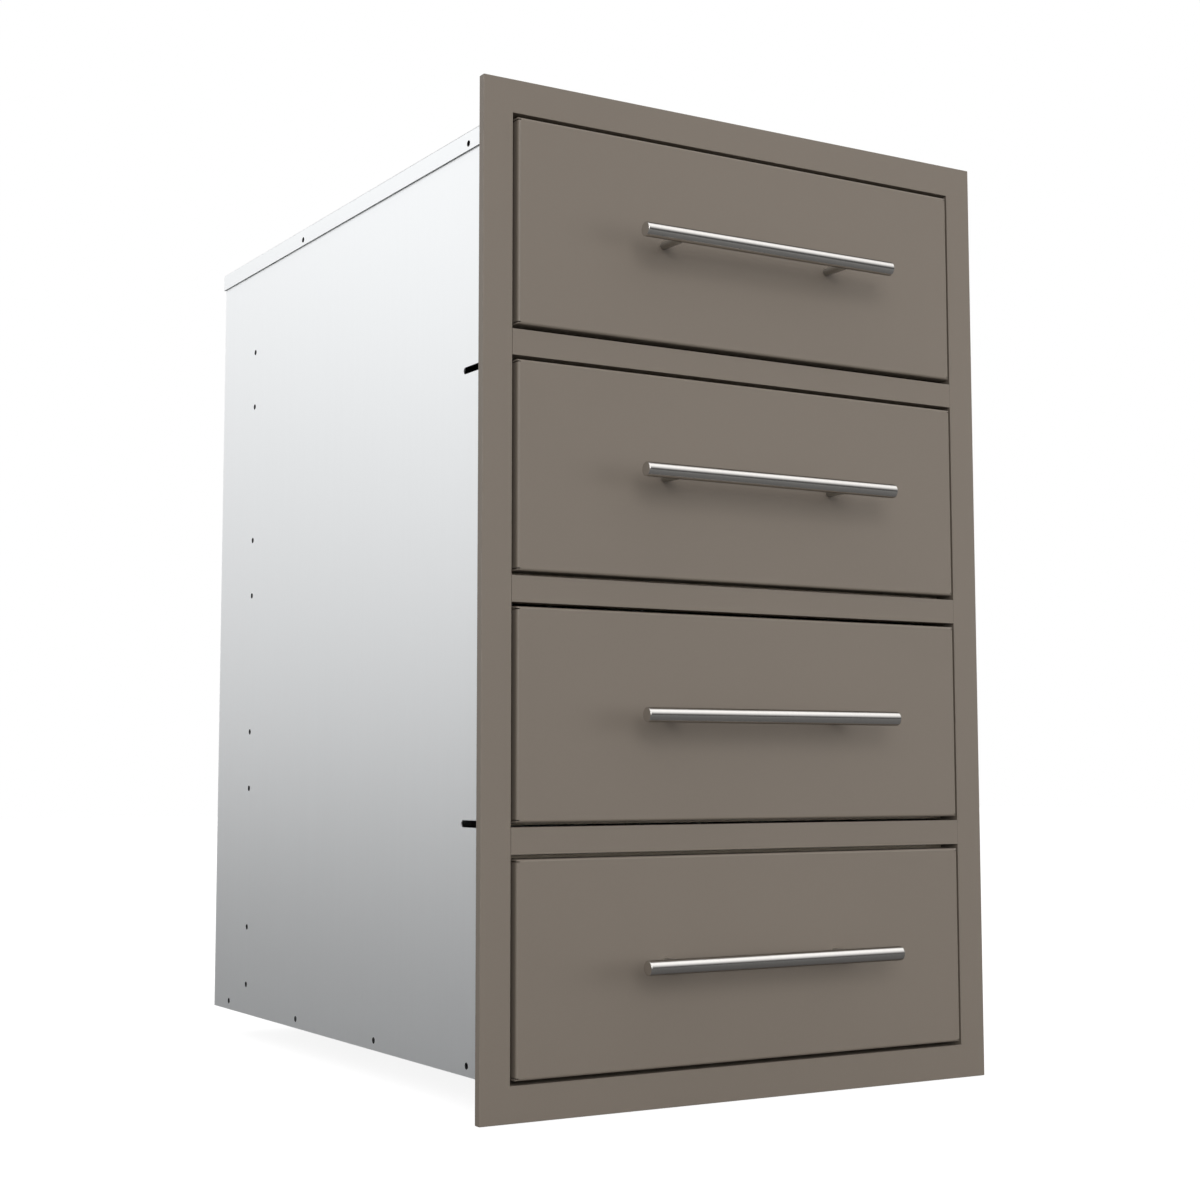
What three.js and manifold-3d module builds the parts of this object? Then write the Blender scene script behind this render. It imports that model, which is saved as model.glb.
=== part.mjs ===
// Outdoor kitchen drawer unit: a sheet metal cabinet, a wide front frame and four drawers on ball slides.
// Millimetres. +X is to the right seen from the front, +Y goes into the cabinet and +Z is up.
// The origin is the middle of the cabinet's underside.
import * as THREE from "three";
import { mergeVertices } from "three/addons/utils/BufferGeometryUtils.js";
import Module from "manifold-3d";

const wasm = await Module();
wasm.setup();

// Front frame
const frameWidth = 432;
const frameHeight = 700;
const frameSheet = 1.2;
const frameEdgeDepth = 6;
const throatDepth = 36;
const stileWidth = 22.75;
const topRailHeight = 23.5;
const bottomRailHeight = 24.3;
const midRailHeight = 18.1;
const midRailDepth = 12;
const drawerCount = 4;

// Cabinet
const cabinetDepth = 538;
const cabinetSheet = 1;
const lidClearance = 1;
const lidFlangeHeight = 14;
const panFlangeHeight = 14;
const rearFlangeWidth = 14;
const uprightSheet = 1.2;
const uprightWidth = 24;

// Holes in the cabinet. Depths start at the frame's front face, heights at the cabinet's underside,
// rear setbacks at the panels' rear edge and drops at the top of the piece that has the hole
const screwHole = 4;
const pilotHole = 3.2;
const pairHoleRearSetback = 75.6;
const pairHoleSpacing = 48.4;
const lowestPairHeight = 49;
const topPairDrop = 108;
const pairCount = 4;
const panHoleHeight = 7.2;
const panHoleDepth = 57;
const panHoleRearSetback = 36;
const panHoleCount = 4;
const lidHoleDrop = 9.3;
const lidHoleDepth = 58.3;
const lidHoleRearSetback = 182.4;
const slotWidth = 4.4;
const slotLength = 30;
const slotDepth = 35;
const lowerSlotHeight = 168.9;
const upperSlotDrop = 170.9;

// Drawer fronts and handles
const frontGap = 3;
const frontProud = 2.5;
const frontDepth = 20;
const frontSheet = 1.2;
const linerSheet = 1;
const linerLap = 2;
const barDiameter = 10;
const barLength = 216;
const barChamfer = 0.5;
const barStandoff = 31;
const barDrops = [2.2, 1, 0, 0.4];
const postDiameter = 6;
const postSpacing = 145;

// Drawer tubs
const tubSheet = 0.9;
const tubHeight = 105;
const tubLift = 14;
const tubRimWidth = 6;

// Ball slides: the gaps above and below the inner members hold the balls
const slideSetback = 2;
const slideRearRoom = 61.5;
const slideHeight = 45;
const slideWidth = 12.7;
const slideSheet = 1.2;
const slideLift = 46;
const slidePlay = 0.4;
const outerBallGap = 3.3;
const innerBallGap = 1.8;
const lipShortfall = 1.5;
const runnerSetback = 10;

// Clearance of pieces that seat on each other, run of a cut past what it cuts, and facets of round pieces
const seatGap = 0.3;
const overrun = 2;
const roundSegments = 24;
const holeSegments = 12;

// Planes that several pieces share
const face = -cabinetDepth / 2;
const rear = cabinetDepth / 2;
const frameBottom = frameSheet - bottomRailHeight;
const frameTop = frameBottom + frameHeight;
const throatHalf = frameWidth / 2 - stileWidth;
const throatBottom = frameBottom + bottomRailHeight;
const throatTop = frameTop - topRailHeight;
const openingHeight = (throatTop - throatBottom - (drawerCount - 1) * midRailHeight) / drawerCount;
const openingPitch = openingHeight + midRailHeight;
const behindPlate = face + frameSheet + seatGap;
const panelInner = throatHalf + frameSheet + seatGap;
const panelOuter = panelInner + cabinetSheet;
const lidUnderside = throatTop + frameSheet + lidClearance;
const lidTop = lidUnderside + cabinetSheet;
const panelTop = lidUnderside - seatGap;
const backFront = rear - cabinetSheet - seatGap - cabinetSheet;
const insideHalf = panelInner - seatGap;
const frontFace = face - frontProud;
const frontBack = frontFace + frontDepth;
const barLine = frontFace - barStandoff;
const slideOuter = throatHalf - seatGap;
const slideInner = slideOuter - slideWidth;
const slideFront = frontBack + slideSetback;
const slideLength = rear - slideRearRoom - slideFront;
const tubHalf = slideInner - seatGap;
const linerBack = frontBack + seatGap + linerSheet;
const tubFront = linerBack + seatGap;
const pairHoleY = rear - pairHoleRearSetback;
const lidHoleZ = lidTop - lidHoleDrop;

// Solid of a closed geometry, ready for cuts and joins
function solidOf(geometry) {
  geometry.deleteAttribute("normal");
  geometry.deleteAttribute("uv");
  const merged = mergeVertices(geometry);
  const vertProperties = merged.attributes.position.array;
  const triVerts = new Uint32Array(merged.index.array);
  return new wasm.Manifold(new wasm.Mesh({ numProp: 3, vertProperties, triVerts }));
}

const join = (...solids) => solids.reduce((whole, next) => whole.add(next));
const cut = (body, ...tools) => tools.reduce((whole, tool) => whole.subtract(tool), body);
const grow = ([low, high], by) => [low - by, high + by];
const middleOf = ([low, high]) => (low + high) / 2;
const about = (middle, size) => [middle - size / 2, middle + size / 2];

// Box between two planes on each axis
function box(x, y, z) {
  const shape = new THREE.BoxGeometry(x[1] - x[0], y[1] - y[0], z[1] - z[0]);
  return solidOf(shape.translate(middleOf(x), middleOf(y), middleOf(z)));
}

// Round rod along X at a depth and a height
function rodAlongX(x, y, z, diameter, segments) {
  const shape = new THREE.CylinderGeometry(diameter / 2, diameter / 2, x[1] - x[0], segments);
  shape.rotateZ(Math.PI / 2);
  return solidOf(shape.translate(middleOf(x), y, z));
}

// Round rod along Y
function rodAlongY(x, y, z, diameter, segments) {
  const shape = new THREE.CylinderGeometry(diameter / 2, diameter / 2, y[1] - y[0], segments);
  return solidOf(shape.translate(x, middleOf(y), z));
}

// Bar of round ends along Y that runs through a sheet along X
function slotAlongX(x, y, z, width) {
  const radius = width / 2;
  const outline = new THREE.Shape();
  outline.absarc(y[0] + radius, z, radius, Math.PI / 2, (3 * Math.PI) / 2);
  outline.absarc(y[1] - radius, z, radius, -Math.PI / 2, Math.PI / 2);
  const run = { depth: x[1] - x[0], bevelEnabled: false, curveSegments: holeSegments / 2 };
  const shape = new THREE.ExtrudeGeometry(outline, run);
  shape.rotateX(Math.PI / 2);
  shape.rotateZ(Math.PI / 2);
  return solidOf(shape.translate(x[0], 0, 0));
}

// Folded channel along Y: a web at one side and two lips that point away from it along X
function channel(webFace, lipEnd, height, y) {
  const toLips = Math.sign(lipEnd - webFace);
  const x = [webFace, lipEnd].sort((a, b) => a - b);
  const hollowX = [webFace + toLips * slideSheet, lipEnd + toLips * overrun].sort((a, b) => a - b);
  const hollow = box(hollowX, grow(y, overrun), about(0, height - 2 * slideSheet));
  return cut(box(x, y, about(0, height)), hollow);
}

// Flat ring with its outer edge folded back, and a throat folded back into the cabinet
function faceFrame() {
  const across = about(0, frameWidth);
  const opening = about(0, 2 * throatHalf);
  const openingZ = [throatBottom, throatTop];
  const rise = [frameBottom, frameTop];
  const edged = box(across, [face, face + frameEdgeDepth], rise);
  const hollowY = [face + frameSheet, face + frameEdgeDepth + overrun];
  const hollow = box(grow(across, -frameSheet), hollowY, grow(rise, -frameSheet));
  const throatY = [face, face + throatDepth];
  const throat = box(grow(opening, frameSheet), throatY, grow(openingZ, frameSheet));
  return cut(join(cut(edged, hollow), throat), box(opening, grow(throatY, overrun), openingZ));
}

// Rail across the throat: a pan that is open at the back, its end folds against the stiles
function midRail() {
  const x = about(0, 2 * (throatHalf - seatGap));
  const y = [face, face + midRailDepth];
  const z = about(0, midRailHeight);
  const hollowY = [face + frameSheet, face + midRailDepth + overrun];
  return cut(box(x, y, z), box(grow(x, -frameSheet), hollowY, grow(z, -frameSheet)));
}

// Evenly spaced places from a first to a last one
const evenly = (first, last, count) =>
  Array.from({ length: count }, (_, i) => first + (i * (last - first)) / (count - 1));

// Places of the cabinet's holes: pairs up the uprights, a row along the pan, two under the lid's edge
const pairHeights = evenly(lowestPairHeight, panelTop - topPairDrop, pairCount)
  .flatMap((middle) => about(middle, pairHoleSpacing));
const panHolePlaces = evenly(face + panHoleDepth, rear - panHoleRearSetback, panHoleCount);
const lidHolePlaces = [face + lidHoleDepth, rear - lidHoleRearSetback];

// Side panel, as on the right: one sheet with a fold inwards at the rear, slotted at some heights
function sidePanel(slotHeights) {
  const x = [panelInner, panelOuter];
  const through = grow(x, overrun);
  const sheet = box(x, [behindPlate, rear], [0, panelTop]);
  const fold = box([panelOuter - rearFlangeWidth, panelOuter], [rear - cabinetSheet, rear], [0, panelTop]);
  const pairs = pairHeights.map((z) => rodAlongX(through, pairHoleY, z, screwHole, holeSegments));
  const row = panHolePlaces.map((y) => rodAlongX(through, y, panHoleHeight, screwHole, holeSegments));
  const lidRow = lidHolePlaces.map((y) => rodAlongX(through, y, lidHoleZ, pilotHole, holeSegments));
  const slotY = [face + slotDepth, face + slotDepth + slotLength];
  const slots = slotHeights.map((z) => slotAlongX(through, slotY, z, slotWidth));
  return cut(join(sheet, fold), ...pairs, ...row, ...lidRow, ...slots);
}

// Lid whose side and rear edges fold down over the panels
function topCover() {
  const flangeInner = panelOuter + seatGap;
  const outer = about(0, 2 * (flangeInner + cabinetSheet));
  const y = [behindPlate, rear + seatGap + cabinetSheet];
  const z = [lidTop - lidFlangeHeight, lidTop];
  const hollowY = [y[0] - overrun, rear + seatGap];
  const hollow = box(about(0, 2 * flangeInner), hollowY, [z[0] - overrun, lidUnderside]);
  const through = grow(outer, overrun);
  const holes = lidHolePlaces.map((place) =>
    rodAlongX(through, place, lidHoleZ, screwHole, holeSegments),
  );
  return cut(box(outer, y, z), hollow, ...holes);
}

// Floor whose side and rear edges fold up inside the panels
function bottomPan() {
  const x = about(0, 2 * insideHalf);
  const y = [face + throatDepth + seatGap, backFront - seatGap];
  const hollowY = [y[0] - overrun, y[1] - cabinetSheet];
  const hollow = box(grow(x, -cabinetSheet), hollowY, [cabinetSheet, panFlangeHeight + overrun]);
  const through = grow(x, overrun);
  const holes = panHolePlaces.map((place) =>
    rodAlongX(through, place, panHoleHeight, pilotHole, holeSegments),
  );
  return cut(box(x, y, [0, panFlangeHeight]), hollow, ...holes);
}

function backPanel() {
  return box(about(0, 2 * insideHalf), [backFront, backFront + cabinetSheet], [0, panelTop]);
}

// Right strip between the side panel and the rear ends of the slides
function slideUpright() {
  const x = [insideHalf - uprightSheet, insideHalf];
  const through = grow(x, overrun);
  const strip = box(x, about(pairHoleY, uprightWidth), [panFlangeHeight + seatGap, panelTop]);
  const holes = pairHeights.map((z) => rodAlongX(through, pairHoleY, z, pilotHole, holeSegments));
  return cut(strip, ...holes);
}

// Members of a right slide about their own middle height, from the cabinet inwards
const lipEnd = slideInner + lipShortfall;
const runnerWebFace = slideOuter - slideSheet - slidePlay;
const runnerHeight = slideHeight - 2 * (slideSheet + outerBallGap);
const drawerMemberHeight = runnerHeight - 2 * (slideSheet + innerBallGap);
const drawerMemberLipEnd = runnerWebFace - slideSheet - slidePlay;
const slideSpan = [slideFront, slideFront + slideLength];
const cabinetMember = () => channel(slideOuter, lipEnd, slideHeight, slideSpan);
const runnerMember = () => channel(runnerWebFace, lipEnd, runnerHeight, grow(slideSpan, -runnerSetback));
const drawerMember = () => channel(slideInner, drawerMemberLipEnd, drawerMemberHeight, slideSpan);

// Front of a drawer: a pan open at the back, a little proud of the frame, about the middle of its opening
const frontX = about(0, 2 * (throatHalf - frontGap));
const frontZ = about(0, openingHeight - 2 * frontGap);
function drawerFront() {
  const hollowY = [frontFace + frontSheet, frontBack + overrun];
  const hollow = box(grow(frontX, -frontSheet), hollowY, grow(frontZ, -frontSheet));
  return cut(box(frontX, [frontFace, frontBack], frontZ), hollow);
}

// Sheet that closes the pan's back, a little larger than the pan, so that it shows in the gap all round
function frontLiner() {
  return box(grow(frontX, linerLap), [linerBack - linerSheet, linerBack], grow(frontZ, linerLap));
}

// Open box behind the front, its rim turned out at the sides and the rear, from the floor of its opening
function drawerTub() {
  const x = about(0, 2 * tubHalf);
  const y = [tubFront, tubFront + slideLength];
  const z = [tubLift, tubLift + tubHeight];
  const rim = box(grow(x, tubRimWidth), [y[0], y[1] + tubRimWidth], [z[1] - tubSheet, z[1]]);
  const hollow = box(grow(x, -tubSheet), grow(y, -tubSheet), [z[0] + tubSheet, z[1] + overrun]);
  return cut(join(box(x, y, z), rim), hollow);
}

// Bar with chamfered ends, along X
function handleBar() {
  const radius = barDiameter / 2;
  const half = barLength / 2;
  const profile = [
    new THREE.Vector2(0, -half),
    new THREE.Vector2(radius - barChamfer, -half),
    new THREE.Vector2(radius, barChamfer - half),
    new THREE.Vector2(radius, half - barChamfer),
    new THREE.Vector2(radius - barChamfer, half),
    new THREE.Vector2(0, half),
  ];
  const shape = new THREE.LatheGeometry(profile, roundSegments);
  shape.rotateZ(Math.PI / 2);
  return solidOf(shape.translate(0, barLine, 0));
}

// Right post, its end coped to the bar
function handlePost() {
  const x = postSpacing / 2;
  const post = rodAlongY(x, [barLine, frontFace - seatGap], 0, postDiameter, roundSegments);
  const clear = barDiameter + 2 * seatGap;
  return cut(post, rodAlongX(about(x, 2 * postDiameter), barLine, 0, clear, roundSegments));
}

const finishes = {
  powderCoat: { color: 0x7d756c, roughness: 0.55, metalness: 0.1 },
  brushedSteel: { color: 0xc4c5c6, roughness: 0.35, metalness: 0.9 },
  satinSteel: { color: 0xcfcfce, roughness: 0.25, metalness: 0.95 },
  platedSteel: { color: 0xaeb2b5, roughness: 0.4, metalness: 0.85 },
};

// Flat-shaded geometry of a finished solid
function geometryOf(solid) {
  const { vertProperties, triVerts } = solid.getMesh();
  const indexed = new THREE.BufferGeometry();
  indexed.setAttribute("position", new THREE.BufferAttribute(vertProperties, 3));
  indexed.setIndex(new THREE.BufferAttribute(triVerts, 1));
  const shape = indexed.toNonIndexed();
  shape.computeVertexNormals();
  return shape;
}

function addPiece(group, name, finish, shape) {
  const mesh = new THREE.Mesh(shape, new THREE.MeshStandardMaterial(finishes[finish]));
  mesh.name = name;
  group.add(mesh);
  return mesh;
}

// A right-hand piece and its mirror image on the left
function addPair(group, name, finish, shape) {
  addPiece(group, `${name}_right`, finish, shape);
  addPiece(group, `${name}_left`, finish, shape).scale.x = -1;
}

// Group at a height, inside another group
function groupAt(parent, height) {
  const group = new THREE.Group();
  group.position.z = height;
  parent.add(group);
  return group;
}

const unit = new THREE.Group();
unit.name = "outdoor_kitchen_drawer_unit";

addPiece(unit, "face_frame", "powderCoat", geometryOf(faceFrame()));
addPiece(unit, "back_panel", "brushedSteel", geometryOf(backPanel()));
addPiece(unit, "bottom_pan", "brushedSteel", geometryOf(bottomPan()));
addPiece(unit, "top_cover", "brushedSteel", geometryOf(topCover()));
addPair(unit, "slide_upright", "platedSteel", geometryOf(slideUpright()));

// Only the left panel has slots near the front
const leftSlotHeights = [lowerSlotHeight, panelTop - upperSlotDrop];
addPiece(unit, "side_panel_right", "brushedSteel", geometryOf(sidePanel([])));
addPiece(unit, "side_panel_left", "brushedSteel", geometryOf(sidePanel(leftSlotHeights))).scale.x = -1;

const shapes = {
  rail: geometryOf(midRail()),
  front: geometryOf(drawerFront()),
  liner: geometryOf(frontLiner()),
  tub: geometryOf(drawerTub()),
  bar: geometryOf(handleBar()),
  post: geometryOf(handlePost()),
  cabinetMember: geometryOf(cabinetMember()),
  runnerMember: geometryOf(runnerMember()),
  drawerMember: geometryOf(drawerMember()),
};

// Drawers are counted from the top, and each mid rail is numbered as the drawer above it
for (let n = 1; n <= drawerCount; n += 1) {
  const floor = throatBottom + (drawerCount - n) * openingPitch;
  const bay = groupAt(unit, floor);
  if (n < drawerCount) {
    const railSeat = groupAt(bay, -midRailHeight / 2);
    addPiece(railSeat, `mid_rail_${n}`, "powderCoat", shapes.rail);
  }
  addPiece(bay, `drawer_tub_${n}`, "brushedSteel", shapes.tub);

  const middle = groupAt(bay, openingHeight / 2);
  addPiece(middle, `drawer_front_${n}`, "powderCoat", shapes.front);
  addPiece(middle, `front_liner_${n}`, "powderCoat", shapes.liner);

  const grip = groupAt(middle, -barDrops[n - 1]);
  addPiece(grip, `handle_bar_${n}`, "satinSteel", shapes.bar);
  addPair(grip, `handle_post_${n}`, "satinSteel", shapes.post);

  const slides = groupAt(bay, slideLift);
  addPair(slides, `cabinet_member_${n}`, "platedSteel", shapes.cabinetMember);
  addPair(slides, `runner_member_${n}`, "platedSteel", shapes.runnerMember);
  addPair(slides, `drawer_member_${n}`, "platedSteel", shapes.drawerMember);
}

export default unit;
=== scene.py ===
import math

import bmesh
import bpy
from bpy.props import FloatProperty, FloatVectorProperty, IntProperty, PointerProperty
from mathutils import Matrix, Vector


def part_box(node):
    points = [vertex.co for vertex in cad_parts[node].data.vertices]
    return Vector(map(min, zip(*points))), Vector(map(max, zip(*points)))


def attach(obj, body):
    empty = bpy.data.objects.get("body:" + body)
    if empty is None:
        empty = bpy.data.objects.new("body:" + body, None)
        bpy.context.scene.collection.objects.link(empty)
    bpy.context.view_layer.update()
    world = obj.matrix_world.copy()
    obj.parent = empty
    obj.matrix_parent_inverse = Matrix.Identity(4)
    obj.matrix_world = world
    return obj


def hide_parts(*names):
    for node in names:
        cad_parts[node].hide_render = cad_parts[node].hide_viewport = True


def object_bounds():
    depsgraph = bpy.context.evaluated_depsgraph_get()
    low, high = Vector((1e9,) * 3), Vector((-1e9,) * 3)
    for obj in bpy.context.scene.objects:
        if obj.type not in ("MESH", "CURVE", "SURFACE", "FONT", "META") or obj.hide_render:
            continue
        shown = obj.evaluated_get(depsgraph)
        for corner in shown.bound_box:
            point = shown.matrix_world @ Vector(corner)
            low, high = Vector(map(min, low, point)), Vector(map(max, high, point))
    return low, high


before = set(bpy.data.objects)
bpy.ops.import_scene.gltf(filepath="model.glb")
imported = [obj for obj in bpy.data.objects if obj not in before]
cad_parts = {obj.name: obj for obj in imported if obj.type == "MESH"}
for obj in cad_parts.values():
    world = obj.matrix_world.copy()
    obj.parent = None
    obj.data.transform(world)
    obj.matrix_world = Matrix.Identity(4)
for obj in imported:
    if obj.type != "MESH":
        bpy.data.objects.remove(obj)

bl_info = {
    "name": "Outdoor Kitchen Drawer Unit",
    "version": (1, 0, 0),
    "blender": (4, 5, 0),
    "location": "3D View > Sidebar > Drawer Unit",
    "description": "Folds and finishes a four-drawer unit in sheet metal, with its bars, slides and studio",
    "category": "Object",
}

CAD_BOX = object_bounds()
DRAWERS = (1, 2, 3, 4)
SIDES = {"left": -1, "right": 1}
X, Y, Z = 0, 1, 2

# A point this near a plane counts as on it
CLOSE = 2e-5
# Length of a cutter that goes through one sheet
THROUGH = 0.02
# Faces round a small hole, and round the head of a screw or rivet
HOLE_SIDES = 28
HEAD_SIDES = 20


# Sizes and colours that a user may change

def length(name, description, default):
    return FloatProperty(
        name=name, description=description, default=default, min=0, precision=5,
        unit="LENGTH", subtype="DISTANCE",
    )


def position(name, description, default):
    return FloatVectorProperty(
        name=name, description=description, default=default, size=3, precision=5,
        unit="LENGTH", subtype="TRANSLATION",
    )


def angle(name, description, degrees):
    return FloatProperty(
        name=name, description=description, default=math.radians(degrees), unit="ROTATION", subtype="ANGLE"
    )


def number(name, description, default):
    return FloatProperty(name=name, description=description, default=default)


def count(name, description, default, least, most):
    return IntProperty(name=name, description=description, default=default, min=least, max=most)


def colour(name, description, default):
    return FloatVectorProperty(
        name=name, description=description, default=default, size=3, min=0, max=1, subtype="COLOR"
    )


class CoatedFrontSettings(bpy.types.PropertyGroup):
    """Folds and coat of the front frame, its rails and the drawer fronts"""

    coat: colour("Coat", "Colour of the powder coat", (0.171, 0.144, 0.117))
    # The liners' coat is lighter and warmer than the fronts' coat: painted light in the gaps round the fronts
    liner_coat_painted_light: colour("Liner coat", "Coat of the liners behind the fronts, lightened as painted light in the gaps", (0.35, 0.29, 0.22))
    # Folds go lighter towards this colour: partly rubbing wear, partly a painted highlight along the folds
    rubbed_and_highlighted: colour("Rubbed and highlighted coat", "Colour that rubbed folds go towards", (0.34, 0.315, 0.285))
    sheet: length("Sheet", "Wall of the folded sheet", 0.0012)
    stile: length("Stile", "Width of the frame's stiles", 0.02275)
    edge_return: length("Edge return", "Depth of the frame's folded outer edge", 0.006)
    outer_fold: length("Outer fold", "Radius of the frame's outer folds", 0.0005)
    throat_fold: length("Throat fold", "Radius of the folds round the frame's openings", 0.0004)
    front_fold: length("Front fold", "Radius of the folds round a drawer front", 0.0018)
    seam: length("Seam", "Gap of a front's corner slits, and twice that of the frame's seams", 0.0007)
    seam_reach: length("Seam reach", "How far a corner seam of the frame cuts in from the corner", 0.0038)
    slit_reach: length("Slit reach", "How far a corner slit of a drawer front cuts in from its side", 0.0022)
    rail_gap: length("Rail gap", "Gap at the ends of the mid rails", 0.0001)


class CabinetSettings(bpy.types.PropertyGroup):
    """Folds, holes and bare steel of the cabinet"""

    steel: colour("Steel", "Colour of the bare brushed sheet", (0.90, 0.915, 0.925))
    # Near-black colour of the walls of punched holes: painted shade inside the holes
    hole_wall_shade: colour("Hole shade", "Colour of the walls of punched holes", (0.05, 0.05, 0.052))
    sheet: length("Sheet", "Wall of the cabinet's sheet", 0.001)
    fold: length("Fold", "Outer radius of the cabinet's folds", 0.0016)
    hole: length("Hole", "Diameter of the screw holes", 0.0046)
    pilot: length("Inner hole", "Diameter of the holes behind the screw holes", 0.0050)
    pair_setback: length("Pair setback", "From the panels' rear edge to the column of paired holes", 0.0756)
    pair_spacing: length("Pair spacing", "Between the two holes of a pair", 0.0484)
    pair_low: length("Lowest pair", "Height of the lowest pair's middle", 0.049)
    pair_drop: length("Highest pair", "From the panels' top to the highest pair's middle", 0.108)
    row_height: length("Row height", "Height of the row of holes along the floor pan", 0.0072)
    row_depth: length("Row depth", "From the frame's face to the row's first hole", 0.057)
    row_setback: length("Row setback", "From the panels' rear edge to the row's last hole", 0.036)
    lid_drop: length("Lid hole drop", "From the lid's top to the holes in its edge", 0.0093)
    lid_depth: length("Lid hole depth", "From the frame's face to the lid's front hole", 0.0583)
    lid_setback: length("Lid hole setback", "From the panels' rear edge to the lid's rear hole", 0.1824)
    slot_width: length("Slot width", "Height of the slots near the front", 0.0050)
    slot_length: length("Slot length", "Length of the slots near the front", 0.0312)
    slot_depth: length("Slot depth", "From the frame's face to the slots", 0.035)
    slot_low: length("Lower slot", "Height of the lower slot", 0.1698)
    slot_drop: length("Upper slot", "From the panels' top to the upper slot", 0.1700)
    lid_seam: length("Lid seam", "Gap in the rear corners of the lid", 0.0004)
    lid_seam_reach: length("Lid seam reach", "How far a seam of the lid cuts in from its corner", 0.0025)
    rivet: length("Rivet", "Radius of the rivet heads on the back", 0.0026)
    rivet_rise: length("Rivet rise", "Height of the rivet heads on the back", 0.0009)
    rivet_setback: length("Rivet setback", "From the ends of a panel to its first and last rivet", 0.05)
    rivet_count: count("Rivets", "Rivets in one column", 5, least=2, most=12)


class HandleSettings(bpy.types.PropertyGroup):
    """Bars and posts of the handles"""

    satin: colour("Satin steel", "Colour of the bars", (0.68, 0.66, 0.635))
    # A dark tint at a glancing angle paints shade along the bars' top and bottom edges
    edge_shade_tint: colour("Edge tint", "Tint of the bars at a glancing angle", (0.12, 0.12, 0.12))
    # The posts' steel is darker than the bars' satin though it is the same steel: painted shade, for the
    # shade that the posts sit in
    post: colour("Post steel", "Colour of the posts", (0.50, 0.49, 0.47))
    chamfer: length("Chamfer", "Chamfer at the ends of a bar", 0.0005)
    weld: length("Weld gap", "Gap between a post's coped end and its bar", 0.00004)
    sides: count("Sides", "Faces round a bar, and twice those round a post", 64, least=16, most=128)


class SlideSettings(bpy.types.PropertyGroup):
    """Rolled members and balls of the slides"""

    plating: colour("Plating", "Colour of the plated slides, screws and rivets", (0.60, 0.61, 0.62))
    bright: colour("Bright plating", "Colour of the balls and their cages", (0.72, 0.72, 0.71))
    sheet: length("Sheet", "Wall of the rolled members", 0.0012)
    roll: length("Roll", "Radius of the rolled corners", 0.0024)
    lip_return: length("Lip return", "How far the cabinet members' lips turn in", 0.0020)
    outer_ball: length("Outer ball", "Radius of the balls between cabinet and runner", 0.0016)
    inner_ball: length("Inner ball", "Radius of the balls between runner and drawer", 0.00085)
    ball_pitch: length("Ball pitch", "Between the balls of a row", 0.0085)
    ball_count: count("Balls", "Balls in one row", 14, least=4, most=24)
    ball_setback: length("Ball setback", "From a runner's end to its nearest ball", 0.02)
    cage: length("Cage", "Sheet of the ball cages", 0.0004)
    punch: length("Punched slot", "Width of the slots punched in the webs", 0.005)


class TubSettings(bpy.types.PropertyGroup):
    """Folded boxes behind the drawer fronts, and their screws"""

    steel: colour("Steel", "Colour of the tubs' sheet", (0.70, 0.71, 0.715))
    sheet: length("Sheet", "Wall of the tubs' sheet", 0.0009)
    fold: length("Fold", "Radius of the tubs' folds", 0.0018)
    rim: length("Rim", "How far the rim turns out", 0.006)
    hem: length("Hem", "How far the rim's edge turns down", 0.003)
    screw: length("Screw head", "Radius of the screw heads", 0.0034)
    screw_rise: length("Screw rise", "Height of the screw heads", 0.0016)
    screw_side: length("Front screws", "From a tub's middle to the screws of its front", 0.125)
    screw_low: length("Lower screws", "From a tub's floor to the lower screws of its front", 0.028)
    screw_high: length("Upper screws", "From a tub's floor to the upper screws of its front", 0.080)
    screw_setback: length("Slide screws", "From a slide member's ends to its outer screws", 0.035)


class StudioSettings(bpy.types.PropertyGroup):
    """Camera, floor and light"""

    place: position("Camera", "Where the camera stands", (-0.82888, -1.42261, 0.20625))
    yaw: angle("Yaw", "Turn of the camera from straight ahead to the right", 30.73)
    pitch: angle("Pitch", "Tilt of the camera upwards", 5.383)
    lens: number("Lens", "Focal length in millimetres on a 36 mm sensor", 59.433)
    shift_x: number("Shift X", "Sideways shift of the frame", 0.01975)
    shift_y: number("Shift Y", "Upward shift of the frame", -0.01358)
    floor: colour("Floor", "Colour of the studio floor", (0.30, 0.30, 0.30))
    floor_shine: colour("Floor shine", "Colour of the floor as metal reflects it", (0.175, 0.175, 0.175))
    floor_size: length("Floor size", "Side of the studio floor", 16.0)
    floor_gap: length("Floor gap", "From the floor to the unit's lowest edge", 0.0005)
    floor_white: number("Floor white", "White that the camera sees in the floor", 0.88)
    sky: number("Fill", "Strength of the even light all round", 0.72)
    front_wall: number("Front wall", "Light of the front wall as metal reflects it", 0.07)
    band: number("Band", "Light of the band above the front wall as metal reflects it", 1.50)
    back_wall: number("Back wall", "Light of the back wall as metal reflects it", 0.78)
    ceiling: number("Ceiling", "Light of the ceiling as metal reflects it", 1.72)
    overhead: number("Overhead", "Light high behind the unit as metal reflects it", 0.72)
    right_wall: number("Right wall", "Light of the right wall as metal reflects it", 0.62)
    key: number("Key light", "Power of the large key light in watts", 319)
    key_place: position("Key place", "Where the key light stands", (-3.4, -7.2, 2.6))
    key_size: length("Key size", "Side of the key light", 4.2)
    side: number("Side light", "Power of the light on the left side in watts", 9)
    side_place: position("Side place", "Where the light on the left side stands", (-1.8, 0.1, 0.05))
    side_size: length("Side size", "Side of the light on the left side", 1.2)
    lift: number("Lift light", "Power of the weak light on the lower right in watts", 28)
    lift_place: position("Lift place", "Where the weak light on the lower right stands", (1.5, -2.0, 0.06))
    lift_size: length("Lift size", "Side of the weak light on the lower right", 1.8)


def settings(group):
    return getattr(bpy.context.scene, group)


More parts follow.
